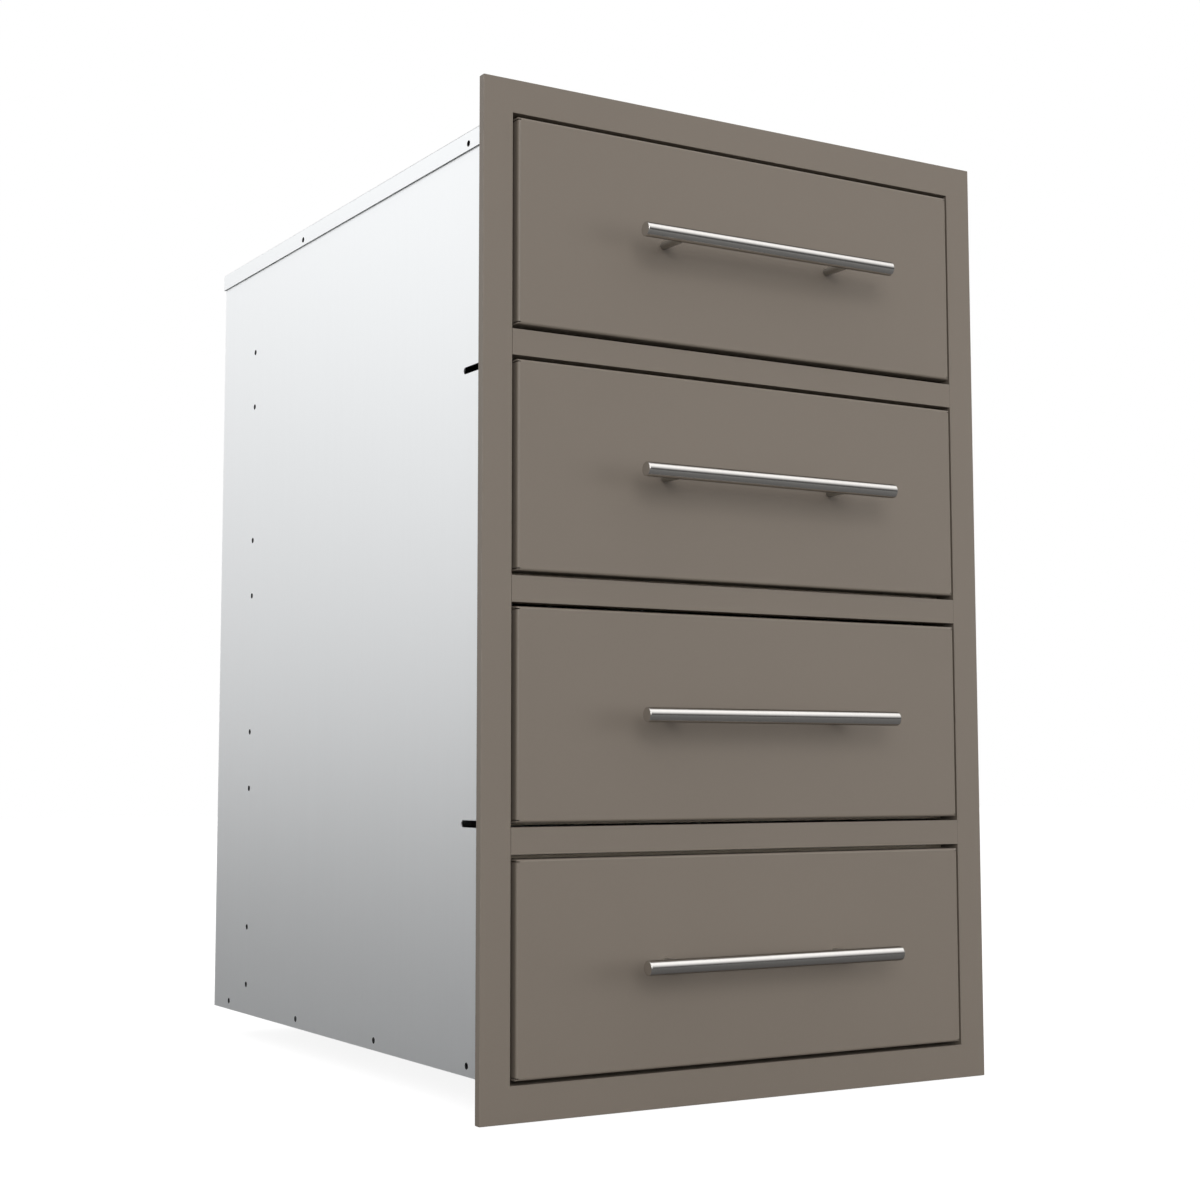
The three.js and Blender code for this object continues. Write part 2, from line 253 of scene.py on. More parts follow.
# Modelling steps

def deselect_all():
    if bpy.context.mode != "OBJECT":
        bpy.ops.object.mode_set(mode="OBJECT")
    bpy.ops.object.select_all(action="DESELECT")


def take(piece):
    """Make a piece the only selected and the active one."""
    deselect_all()
    piece.select_set(True)
    bpy.context.view_layer.objects.active = piece


def settle(piece):
    """Move a piece's place, turn and scale into its mesh."""
    take(piece)
    bpy.ops.object.transform_apply(location=True, rotation=True, scale=True)


def new_piece(name):
    piece = bpy.context.object
    piece.name = name
    piece.data.name = name
    return piece


def block(name, low, high):
    """Cube primitive between two corners."""
    deselect_all()
    low, high = Vector(low), Vector(high)
    bpy.ops.mesh.primitive_cube_add(size=1, location=(low + high) / 2)
    piece = new_piece(name)
    piece.scale = high - low
    settle(piece)
    return piece


TURNS = {X: (0, math.pi / 2, 0), Y: (math.pi / 2, 0, 0), Z: (0, 0, 0)}


def rod(name, axis, centre, radius, reach, sides):
    """Cylinder primitive along an axis."""
    deselect_all()
    bpy.ops.mesh.primitive_cylinder_add(
        vertices=sides, radius=radius, depth=reach, location=centre, rotation=TURNS[axis]
    )
    piece = new_piece(name)
    settle(piece)
    return piece


def on_planes(*planes):
    """Test of an edge or face whose corners all lie on each given plane, an axis and a place."""
    return lambda part: all(
        abs(vert.co[axis] - place) < CLOSE for vert in part.verts for axis, place in planes
    )


def either(*tests):
    return lambda part: any(test(part) for test in tests)


def ends(axis, low, high):
    """The two planes that bound a box along an axis."""
    return (axis, low[axis]), (axis, high[axis])


def meeting(first, second):
    """Tests of the edges in which a plane of the first group meets one of the second."""
    return [on_planes(one, other) for one in first for other in second]


def facing(axis, sign):
    """Test of a face that looks almost straight along an axis, forwards or backwards."""
    return lambda face: face.normal[axis] * sign > 0.9


def pick(piece, kind, test):
    """Enter edit mode with only the vertices, edges or faces that pass a test selected."""
    take(piece)
    bpy.ops.object.mode_set(mode="EDIT")
    bpy.ops.mesh.select_mode(type=kind)
    bpy.ops.mesh.select_all(action="DESELECT")
    shape = bmesh.from_edit_mesh(piece.data)
    parts = {"VERT": shape.verts, "EDGE": shape.edges, "FACE": shape.faces}[kind]
    chosen = [part for part in parts if test(part)]
    if not chosen:
        raise RuntimeError(f"nothing on {piece.name} matches this step of its modelling")
    for part in chosen:
        part.select_set(True)
    bmesh.update_edit_mesh(piece.data)


def done():
    bpy.ops.object.mode_set(mode="OBJECT")


def open_up(piece, *tests):
    """Delete whole faces, so that a block becomes a folded sheet."""
    pick(piece, "FACE", either(*tests))
    bpy.ops.mesh.delete(type="FACE")
    done()


def round_edges(piece, radius, segments, *tests):
    """Round the edges that pass a test, in a number of segments."""
    pick(piece, "EDGE", either(*tests))
    bpy.ops.mesh.bevel(offset=radius, offset_type="OFFSET", segments=segments, profile=0.5, affect="EDGES")
    done()


def apply(piece, modifier):
    take(piece)
    bpy.ops.object.modifier_apply(modifier=modifier.name)


def thicken(piece, sheet):
    """Give a folded skin its wall, inwards from its outer side."""
    modifier = piece.modifiers.new("Wall", "SOLIDIFY")
    modifier.thickness = sheet
    modifier.offset = -1
    modifier.use_even_offset = True
    apply(piece, modifier)


def smooth(piece, degrees=32):
    """Smooth the folds and keep the flats flat."""
    take(piece)
    bpy.ops.object.shade_smooth_by_angle(angle=math.radians(degrees))
    modifier = piece.modifiers.new("Flat faces lead", "WEIGHTED_NORMAL")
    modifier.keep_sharp = True
    modifier.weight = 100
    apply(piece, modifier)


def join(pieces, name):
    deselect_all()
    for piece in pieces:
        piece.select_set(True)
    bpy.context.view_layer.objects.active = pieces[0]
    if len(pieces) > 1:
        bpy.ops.object.join()
    return new_piece(name)


def cut_away(piece, cutters):
    """Cut a list of pieces out of another and delete them."""
    tool = join(cutters, "cutter")
    modifier = piece.modifiers.new("Cut", "BOOLEAN")
    modifier.operation = "DIFFERENCE"
    modifier.solver = "EXACT"
    modifier.object = tool
    apply(piece, modifier)
    discard(tool)


def discard(piece):
    take(piece)
    bpy.ops.object.delete()


def copy_of(piece, name, move, turn):
    """Copy of a piece with its own mesh, turned about the origin and then moved."""
    take(piece)
    bpy.ops.object.duplicate()
    twin = new_piece(name)
    twin.matrix_world = Matrix.Translation(Vector(move)) @ turn
    settle(twin)
    return twin


def scatter(model, places, turn, name):
    """Copies of a small piece, turned alike and joined, at each of the places."""
    return join([copy_of(model, "part", place, turn) for place in places], name)


def put_on(piece, body, material, replaced=()):
    """Give a finished piece its finish and its body, and hide the CAD nodes that it stands for."""
    piece.data.materials.clear()
    piece.data.materials.append(material)
    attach(piece, body)
    if replaced:
        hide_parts(*replaced)


def dress(node, material):
    """Give a CAD node that stays its finish."""
    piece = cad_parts[node]
    piece.data.materials.clear()
    piece.data.materials.append(material)


def blade(low, high, turn, place):
    """Thin block, turned about the origin and then moved, that cuts an open seam."""
    piece = block("blade", low, high)
    piece.rotation_euler = turn
    piece.location = place
    settle(piece)
    return piece


def corners(low, high):
    """X and Z of a box's four corners seen from the front, each with its way inwards."""
    return [
        (x, z, side, rise)
        for x, side in ((low.x, 1), (high.x, -1))
        for z, rise in ((low.z, 1), (high.z, -1))
    ]


def cut_frame_seams(piece, low, high, reach, gap, start, end):
    """Cut the diagonal seams of the frame's corners, where its folded sides meet."""
    thin_low, thin_high = (-reach, start, -gap / 2), (reach, end, gap / 2)
    cut_away(piece, [
        blade(thin_low, thin_high, (0, -math.atan2(rise, side), 0), (x, 0, z))
        for x, z, side, rise in corners(low, high)
    ])


def cut_pan_slits(piece, low, high, reach, gap, drop):
    """Cut the slits of a pan's corners, where its folded sides stop short of its top and bottom."""
    slits = []
    for x, z, side, rise in corners(low, high):
        left, right = sorted((x - side * reach, x + side * reach))
        lower, upper = sorted((z + rise * drop, z + rise * (drop + gap)))
        slits.append(block("slit", (left, low.y - reach, lower), (right, high.y + reach, upper)))
    cut_away(piece, slits)


# Shader parts that more than one material uses

def add_node(tree, kind, inputs=None, **values):
    node = tree.nodes.new(kind)
    for key, value in values.items():
        setattr(node, key, value)
    for key, value in (inputs or {}).items():
        if isinstance(value, bpy.types.NodeSocket):
            tree.links.new(value, node.inputs[key])
        else:
            node.inputs[key].default_value = value
    return node


def maths(tree, operation, first, second=0.0, third=None):
    inputs = {0: first, 1: second}
    if third is not None:
        inputs[2] = third
    return add_node(tree, "ShaderNodeMath", inputs, operation=operation).outputs[0]


def ramp(tree, value, limits, low, high):
    """Smooth change from a low to a high value as another value goes from one limit to the other."""
    return add_node(
        tree, "ShaderNodeMapRange",
        {"Value": value, "From Min": limits[0], "From Max": limits[1], "To Min": low, "To Max": high},
        interpolation_type="SMOOTHSTEP",
    ).outputs[0]


# Outputs of the groups that give a whole finish
FINISH = [("Colour", "NodeSocketColor"), ("Roughness", "NodeSocketFloat"), ("Height", "NodeSocketFloat")]


def new_group(name, inputs, outputs):
    """Shader node group, its input and output nodes."""
    tree = bpy.data.node_groups.new(name, "ShaderNodeTree")
    for label, kind, value in inputs:
        socket = tree.interface.new_socket(name=label, in_out="INPUT", socket_type=kind)
        if value is not None:
            socket.default_value = value
    for label, kind in outputs:
        tree.interface.new_socket(name=label, in_out="OUTPUT", socket_type=kind)
    return tree, tree.nodes.new("NodeGroupInput"), tree.nodes.new("NodeGroupOutput")


def spread(tree, value, amount):
    """Turn a value of 0 to 1 into one about zero."""
    return maths(tree, "MULTIPLY", maths(tree, "SUBTRACT", value, 0.5), amount)


def tinted(tree, colour_socket, tone):
    """Colour times a tone near one."""
    scaled = add_node(tree, "ShaderNodeVectorMath", {0: colour_socket}, operation="SCALE")
    tree.links.new(tone, scaled.inputs["Scale"])
    return scaled.outputs[0]


def noise(tree, start, scale, detail, roughness):
    """Noise on the group's coordinates, at the scale that one of its inputs gives."""
    return add_node(
        tree, "ShaderNodeTexNoise",
        {
            "Vector": start.outputs["Vector"], "Scale": start.outputs[scale],
            "Detail": detail, "Roughness": roughness,
        },
    ).outputs[0]


def put_out(tree, start, end, tones, rough, height):
    """Vary the group's colour by one or more tones and its roughness by one, and pass on a height."""
    tone = 1
    for mask in tones:
        tone = maths(tree, "ADD", tone, spread(tree, mask, start.outputs["Colour Spread"]))
    tree.links.new(tinted(tree, start.outputs["Colour"], tone), end.inputs["Colour"])
    change = spread(tree, rough, start.outputs["Roughness Spread"])
    tree.links.new(maths(tree, "ADD", start.outputs["Roughness"], change), end.inputs["Roughness"])
    tree.links.new(height, end.inputs["Height"])
    return tree


def coat_grain_group():
    """Powder coat: fine orange peel, faint clouds of colour and sheen."""
    tree, start, end = new_group(
        "Coat Grain",
        [
            ("Vector", "NodeSocketVector", None),
            ("Colour", "NodeSocketColor", (0.2, 0.2, 0.2, 1)),
            ("Grain Scale", "NodeSocketFloat", 900),
            ("Cloud Scale", "NodeSocketFloat", 9),
            ("Colour Spread", "NodeSocketFloat", 0.05),
            ("Roughness", "NodeSocketFloat", 0.5),
            ("Roughness Spread", "NodeSocketFloat", 0.08),
        ],
        FINISH,
    )
    grain = noise(tree, start, "Grain Scale", detail=3, roughness=0.55)
    clouds = noise(tree, start, "Cloud Scale", detail=4, roughness=0.6)
    return put_out(tree, start, end, (clouds, grain), clouds, grain)


def brushed_lines_group():
    """Brushed steel: fine lines and broader streaks, which the material draws out along their length."""
    tree, start, end = new_group(
        "Brushed Lines",
        [
            ("Vector", "NodeSocketVector", None),
            ("Colour", "NodeSocketColor", (0.7, 0.7, 0.7, 1)),
            ("Line Scale", "NodeSocketFloat", 2600),
            ("Streak Scale", "NodeSocketFloat", 260),
            ("Colour Spread", "NodeSocketFloat", 0.06),
            ("Roughness", "NodeSocketFloat", 0.3),
            ("Roughness Spread", "NodeSocketFloat", 0.1),
        ],
        FINISH,
    )
    lines = noise(tree, start, "Line Scale", detail=2, roughness=0.5)
    streaks = noise(tree, start, "Streak Scale", detail=3, roughness=0.6)
    line_share, streak_share = 0.6, 0.4
    both = maths(
        tree, "ADD",
        maths(tree, "MULTIPLY", lines, line_share), maths(tree, "MULTIPLY", streaks, streak_share),
    )
    return put_out(tree, start, end, (both,), both, both)


def plating_group():
    """Zinc plating: small spangle."""
    tree, start, end = new_group(
        "Plating",
        [
            ("Vector", "NodeSocketVector", None),
            ("Colour", "NodeSocketColor", (0.6, 0.6, 0.6, 1)),
            ("Spangle Scale", "NodeSocketFloat", 320),
            ("Colour Spread", "NodeSocketFloat", 0.1),
            ("Roughness", "NodeSocketFloat", 0.36),
            ("Roughness Spread", "NodeSocketFloat", 0.12),
        ],
        FINISH,
    )
    spangle = add_node(
        tree, "ShaderNodeTexVoronoi",
        {"Vector": start.outputs["Vector"], "Scale": start.outputs["Spangle Scale"]},
    )
    cell = add_node(tree, "ShaderNodeSeparateColor", {0: spangle.outputs["Color"]}).outputs[0]
    return put_out(tree, start, end, (cell,), cell, spangle.outputs["Distance"])


def edge_rub_and_highlight_group():
    """Mask of the folds of a box, or of boxes repeated up Z, broken up by noise: rubbing wear and a painted
    highlight along them.
    """
    tree, start, end = new_group(
        "Edge Rub",
        [
            ("Vector", "NodeSocketVector", None),
            ("Low", "NodeSocketVector", None),
            ("High", "NodeSocketVector", None),
            ("Pitch", "NodeSocketFloat", 10),
            ("Width", "NodeSocketFloat", 0.002),
            ("Breakup Scale", "NodeSocketFloat", 60),
        ],
        [("Mask", "NodeSocketFloat")],
    )
    point = add_node(tree, "ShaderNodeSeparateXYZ", {0: start.outputs["Vector"]})
    low = add_node(tree, "ShaderNodeSeparateXYZ", {0: start.outputs["Low"]})
    high = add_node(tree, "ShaderNodeSeparateXYZ", {0: start.outputs["High"]})
    across = maths(
        tree, "MINIMUM",
        maths(tree, "SUBTRACT", point.outputs[X], low.outputs[X]),
        maths(tree, "SUBTRACT", high.outputs[X], point.outputs[X]),
    )
    rise = maths(tree, "SUBTRACT", point.outputs[Z], low.outputs[Z])
    rise = maths(tree, "FLOORED_MODULO", rise, start.outputs["Pitch"])
    span = maths(tree, "SUBTRACT", high.outputs[Z], low.outputs[Z])
    upright = maths(tree, "MINIMUM", rise, maths(tree, "SUBTRACT", span, rise))
    inset = maths(tree, "MINIMUM", across, upright)
    depth = maths(tree, "SUBTRACT", point.outputs[Y], low.outputs[Y])
    rubbed_and_highlighted = (0.0, start.outputs["Width"])
    edge = maths(tree, "MULTIPLY", ramp(tree, inset, rubbed_and_highlighted, 1.0, 0.0), ramp(tree, depth, rubbed_and_highlighted, 1.0, 0.0))
    specks = noise(tree, start, "Breakup Scale", detail=5, roughness=0.65)
    broken = (0.38, 0.62)
    mask = maths(tree, "MULTIPLY", edge, ramp(tree, specks, broken, 0.0, 1.0))
    tree.links.new(mask, end.inputs["Mask"])
    return tree


def shared_group(name):
    """A shared group, built the first time that a material asks for it."""
    makers = {
        "Coat Grain": coat_grain_group,
        "Brushed Lines": brushed_lines_group,
        "Plating": plating_group,
        "Edge Rub": edge_rub_and_highlight_group,
    }
    return bpy.data.node_groups.get(name) or makers[name]()


def place_group(tree, name, inputs):
    return add_node(tree, "ShaderNodeGroup", inputs, node_tree=shared_group(name))


def new_material(name):
    """Material with a Principled shader, and the coordinates of the object."""
    material = bpy.data.materials.new(name)
    material.use_nodes = True
    tree = material.node_tree
    shader = tree.nodes["Principled BSDF"]
    place = tree.nodes.new("ShaderNodeTexCoord").outputs["Object"]
    return material, tree, shader, place


def relief(tree, shader, height, strength, depth):
    bump = add_node(tree, "ShaderNodeBump", {"Height": height, "Strength": strength, "Distance": depth})
    tree.links.new(bump.outputs[0], shader.inputs["Normal"])


def rgba(value):
    return (*value, 1)


def coated(name, low, high, pitch=10.0, wear_and_highlight_amount=0.05, polish=0.12, tint=None):
    """Taupe powder coat, its folds a touch smoother and lighter than its flats: rubbing wear, and a painted
    highlight along the folds.

    The folds are those of the box from low to high, repeated up Z at the pitch.
    """
    if name in bpy.data.materials:
        return bpy.data.materials[name]
    look = settings("coated_front")
    material, tree, shader, place = new_material(name)
    grain = place_group(tree, "Coat Grain", {"Vector": place, "Colour": rgba(tint or look.coat)})
    box = {"Low": low, "High": high, "Pitch": pitch}
    rub_and_highlight_mask = place_group(tree, "Edge Rub", {"Vector": place, **box}).outputs[0]
    lighter = add_node(
        tree, "ShaderNodeMix",
        # Lighter folds: rubbing wear, and a painted highlight along the folds
        {0: maths(tree, "MULTIPLY", rub_and_highlight_mask, wear_and_highlight_amount), 6: grain.outputs["Colour"], 7: rgba(look.rubbed_and_highlighted)},
        data_type="RGBA",
    )
    tree.links.new(lighter.outputs[2], shader.inputs["Base Color"])
    rough = maths(tree, "SUBTRACT", grain.outputs["Roughness"], maths(tree, "MULTIPLY", rub_and_highlight_mask, polish))
    tree.links.new(rough, shader.inputs["Roughness"])
    shader.inputs["Metallic"].default_value = 0
    shader.inputs["Specular IOR Level"].default_value = 0.4
    relief(tree, shader, grain.outputs["Height"], strength=0.25, depth=0.00006)
    return material


def metal(name, group, values, strength, depth, stretch=None):
    """Metal whose colour, roughness and relief a shared group gives."""
    if name in bpy.data.materials:
        return bpy.data.materials[name]
    material, tree, shader, place = new_material(name)
    if stretch:
        place = add_node(tree, "ShaderNodeMapping", {"Vector": place, "Scale": stretch}).outputs[0]
    finish = place_group(tree, group, {"Vector": place, **values})
    tree.links.new(finish.outputs["Colour"], shader.inputs["Base Color"])
    tree.links.new(finish.outputs["Roughness"], shader.inputs["Roughness"])
    shader.inputs["Metallic"].default_value = 1
    relief(tree, shader, finish.outputs["Height"], strength, depth)
    return material


def bare_steel(name, tint, stretch, roughness, line_scale=2600, colour_spread=0.06):
    """Brushed steel whose lines run along the axis, or round it, with the smallest stretch."""
    values = {
        "Colour": rgba(tint), "Line Scale": line_scale,
        "Colour Spread": colour_spread, "Roughness": roughness,
    }
    return metal(name, "Brushed Lines", values, strength=0.12, depth=0.00003, stretch=stretch)


def plated(name, tint, roughness=0.36):
    """Zinc-plated steel."""
    values = {"Colour": rgba(tint), "Roughness": roughness}
    return metal(name, "Plating", values, strength=0.1, depth=0.00002)


# Stretch of the pattern along the brushed lines of sheet, the grain of bars, and the lines in the painted
# shade on the walls of holes
SHEET_LINE = 0.012
BAR_GRAIN = 0.04
HOLE_SHADE_LINE = 0.1


def upright_steel():
    steel = settings("cabinet").steel
    return bare_steel("Brushed steel, upright lines", steel, (1, 1, SHEET_LINE), roughness=0.44)


def flat_steel():
    steel = settings("cabinet").steel
    return bare_steel("Brushed steel, lines front to back", steel, (1, SHEET_LINE, 1), roughness=0.44)


def tub_steel():
    steel = settings("tubs").steel
    return bare_steel(
        "Brushed steel of the tubs", steel, (1, SHEET_LINE, 1), roughness=0.36, line_scale=2200
    )


# Near-black steel on the walls of the holes: painted shade inside them
def hole_shade_steel():
    steel = settings("cabinet").hole_wall_shade
    return bare_steel("Sheared walls of the holes", steel, (HOLE_SHADE_LINE, 1, 1), roughness=0.55)


def slide_steel():
    return plated("Zinc-plated steel", settings("slides").plating)


# Pieces

class DRAWERUNIT_OT_face_frame(bpy.types.Operator):
    """Fold the front frame: a flat ring, its outer edge returned and its opening folded back"""

    bl_idname = "drawer_unit.face_frame"
    bl_label = "Front Frame"

    def execute(self, context):
        look = settings("coated_front")
        low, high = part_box("face_frame")
        top_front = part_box("drawer_front_1")
        bottom_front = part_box("drawer_front_4")
        gap = top_front[0].x - (low.x + look.stile)
        throat_low = Vector((low.x + look.stile, low.y, bottom_front[0].z - gap))
        throat_high = Vector((high.x - look.stile, high.y, top_front[1].z + gap))

        piece = block("folded_face_frame", low, (high.x, low.y + look.edge_return, high.z))
        pick(piece, "FACE", facing(Y, -1))
        bpy.ops.mesh.inset(thickness=look.stile, depth=0)
        done()
        for place, target in ((low.z + look.stile, throat_low.z), (high.z - look.stile, throat_high.z)):
            pick(piece, "EDGE", on_planes((Y, low.y), (Z, place)))
            bpy.ops.transform.translate(value=(0, 0, target - place))
            done()

        def middle(face):
            centre = face.calc_center_median()
            in_throat = abs(centre.x) < look.stile and throat_low.z < centre.z < throat_high.z
            return facing(Y, -1)(face) and in_throat

        open_up(piece, on_planes((Y, low.y + look.edge_return)), middle)
        front = [(Y, low.y)]
        throat = meeting(front, (*ends(X, throat_low, throat_high), *ends(Z, throat_low, throat_high)))
        pick(piece, "EDGE", either(*throat))
        bpy.ops.mesh.extrude_region_move(TRANSFORM_OT_translate={"value": (0, high.y - low.y, 0)})
        done()
        thicken(piece, look.sheet)
        outline = meeting(front, (*ends(X, low, high), *ends(Z, low, high)))
        upright = meeting(ends(X, low, high), ends(Z, low, high))
        round_edges(piece, look.outer_fold, 4, *outline, *upright)
        round_edges(piece, look.throat_fold, 2, *throat)
        seam_start = low.y + look.sheet
        cut_frame_seams(
            piece, low, high, look.seam_reach, look.seam / 2, seam_start, seam_start + look.edge_return
        )
        smooth(piece)
        material = coated("Powder coat of the frame", low, high, wear_and_highlight_amount=0.03)
        put_on(piece, "cabinet", material, ["face_frame"])
        return {"FINISHED"}


class DRAWERUNIT_OT_mid_rails(bpy.types.Operator):
    """Fold the three rails between the openings"""

    bl_idname = "drawer_unit.mid_rails"
    bl_label = "Mid Rails"

    def execute(self, context):
        look = settings("coated_front")
        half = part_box("face_frame")[1].x - look.stile - look.rail_gap
        lowest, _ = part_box("mid_rail_3")
        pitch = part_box("mid_rail_2")[0].z - lowest.z
        for n in DRAWERS[:-1]:
            low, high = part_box(f"mid_rail_{n}")
            piece = block(f"folded_mid_rail_{n}", (-half, low.y, low.z), (half, high.y, high.z))
            open_up(piece, facing(Y, 1))
            thicken(piece, look.sheet)
            round_edges(piece, look.throat_fold, 2, *meeting([(Y, low.y)], ends(Z, low, high)))
            smooth(piece)
            # The box of the worn and highlighted folds reaches far past the rails' ends, which have no fold
            left = Vector((-1, low.y, lowest.z))
            right = Vector((1, high.y, lowest.z + high.z - low.z))
            material = coated("Powder coat of the rails", left, right, pitch)
            put_on(piece, "cabinet", material, [f"mid_rail_{n}"])
        return {"FINISHED"}


class DRAWERUNIT_OT_drawer_fronts(bpy.types.Operator):
    """Fold the drawer fronts, pans with rounded folds and a slit at each corner, and coat their liners"""

    bl_idname = "drawer_unit.drawer_fronts"
    bl_label = "Drawer Fronts"

    def execute(self, context):
        look = settings("coated_front")
        first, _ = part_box("drawer_front_4")
        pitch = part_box("drawer_front_3")[0].z - first.z
        for n in DRAWERS:
            low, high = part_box(f"drawer_front_{n}")
            piece = block(f"folded_front_{n}", low, high)
            open_up(piece, facing(Y, 1))
            folds = meeting([(Y, low.y)], (*ends(X, low, high), *ends(Z, low, high)))
            round_edges(piece, look.front_fold, 6, *folds)
            thicken(piece, look.sheet)
            cut_pan_slits(piece, low, high, look.slit_reach, look.seam, look.sheet)
            smooth(piece)
            top = Vector((high.x, high.y, first.z + high.z - low.z))
            material = coated("Powder coat of the fronts", first, top, pitch)
            put_on(piece, f"drawer_{n}", material, [f"drawer_front_{n}"])
            # The liners get the lighter coat: painted light in the gaps round the fronts
            liner_coat_painted_light = coated("Powder coat of the liners", first, top, pitch, tint=look.liner_coat_painted_light)
            dress(f"front_liner_{n}", liner_coat_painted_light)
        return {"FINISHED"}


class DRAWERUNIT_OT_handles(bpy.types.Operator):
    """Turn the bars and their coped posts"""

    bl_idname = "drawer_unit.handles"
    bl_label = "Handles"

    def execute(self, context):
        look = settings("handles")
        grain = {"line_scale": 1500, "colour_spread": 0.14}
        round_bar, round_post = (1, BAR_GRAIN, BAR_GRAIN), (BAR_GRAIN, 1, BAR_GRAIN)
        bar_steel = bare_steel("Satin steel of the bars", look.satin, round_bar, roughness=0.18, **grain)
        shader = bar_steel.node_tree.nodes["Principled BSDF"]
        # Dark glancing tint: painted shade along the top and bottom edges of the bars
        shader.inputs["Specular Tint"].default_value = rgba(look.edge_shade_tint)
        # Darker copy of the bars' steel for the posts: painted shade
        post_steel_painted_shade = bare_steel("Satin steel of the posts", look.post, round_post, roughness=0.30, **grain)
        for n in DRAWERS:
            low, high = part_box(f"handle_bar_{n}")
            centre, radius = (low + high) / 2, (high.z - low.z) / 2
            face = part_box(f"drawer_front_{n}")[0].y
            bar = rod(f"turned_bar_{n}", X, centre, radius, high.x - low.x, look.sides)
            round_edges(bar, look.chamfer, 3, on_planes((X, low.x)), on_planes((X, high.x)))
            smooth(bar)
            put_on(bar, f"drawer_{n}", bar_steel, [f"handle_bar_{n}"])
            for side in SIDES:
                node = f"handle_post_{n}_{side}"
                foot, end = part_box(node)
                middle, thick = (foot.x + end.x) / 2, end.x - foot.x
                post = rod(
                    f"turned_post_{n}_{side}", Y, (middle, (centre.y + face) / 2, centre.z),
                    thick / 2, face - centre.y, look.sides // 2,
                )
                axis = (middle, centre.y, centre.z)
                cut_away(post, [rod("cope", X, axis, radius + look.weld, 2 * thick, look.sides)])
                smooth(post)
                put_on(post, f"drawer_{n}", post_steel_painted_shade, [node])
        return {"FINISHED"}


def evenly(first, last, count):
    return [first + i * (last - first) / (count - 1) for i in range(count)]


def side_holes(look, face, rear, top):
    """Y and Z of the holes in a side panel: the column of pairs, and the row along the floor pan."""
    pairs = evenly(look.pair_low, top - look.pair_drop, len(DRAWERS))
    half = look.pair_spacing / 2
    column = [(rear - look.pair_setback, middle + move) for middle in pairs for move in (-half, half)]
    depths = evenly(face + look.row_depth, rear - look.row_setback, len(DRAWERS))
    return column, [(depth, look.row_height) for depth in depths]


def lid_holes(look, face, rear, lid_top):
    return [(y, lid_top - look.lid_drop) for y in (face + look.lid_depth, rear - look.lid_setback)]


def hole_cutters(x, places, diameter):
    return [rod("hole", X, (x, y, z), diameter / 2, THROUGH, HOLE_SIDES) for y, z in places]


def paint_hole_shade(piece, places, diameter):
    """Colour the walls of the holes that run through along X near-black: painted shade inside the holes."""
    piece.data.materials.append(hole_shade_steel())
    near = diameter / 2 * 1.1

    def wall(face):
        middle = face.calc_center_median()
        sideways = abs(face.normal.x) < 0.3
        return sideways and any(math.hypot(middle.y - y, middle.z - z) < near for y, z in places)

    pick(piece, "FACE", wall)
    piece.active_material_index = 1
    bpy.ops.object.material_slot_assign()
    done()


def slot_cutter(start, width, reach, through):
    """Cutter along X with round ends: half of a rod drawn out along Y, from the first end's middle."""
    cutter = rod("slot", X, start, width / 2, through, HOLE_SIDES)
    pick(cutter, "VERT", lambda vert: vert.co.y > start[Y] + CLOSE)
    bpy.ops.transform.translate(value=(0, reach - width, 0))
    done()
    return cutter


class DRAWERUNIT_OT_side_panels(bpy.types.Operator):
    """Fold the side panels and cut their holes and slots"""

    bl_idname = "drawer_unit.side_panels"
    bl_label = "Side Panels"

    def execute(self, context):
        look = settings("cabinet")
        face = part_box("face_frame")[0].y
        lid_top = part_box("top_cover")[1].z
        for side, sign in SIDES.items():
            node = f"side_panel_{side}"
            low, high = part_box(node)
            piece = block(f"folded_side_panel_{side}", low, high)
            outer = high.x if sign > 0 else low.x
            open_up(piece, facing(X, -sign), facing(Y, -1), facing(Z, 1), facing(Z, -1))
            round_edges(piece, look.fold, 5, on_planes((X, outer), (Y, high.y)))
            thicken(piece, look.sheet)
            column, row = side_holes(look, face, high.y, high.z)
            lid_row = lid_holes(look, face, high.y, lid_top)
            cutters = hole_cutters(outer, column + row, look.hole)
            cutters += hole_cutters(outer, lid_row, look.pilot)
            for height in (look.slot_low, high.z - look.slot_drop) if side == "left" else ():
                start = (outer, face + look.slot_depth + look.slot_width / 2, height)
                cutters.append(slot_cutter(start, look.slot_width, look.slot_length, THROUGH))
            cut_away(piece, cutters)
            smooth(piece)
            put_on(piece, "cabinet", upright_steel(), [node])
            paint_hole_shade(piece, column + row + lid_row, look.hole)
        return {"FINISHED"}


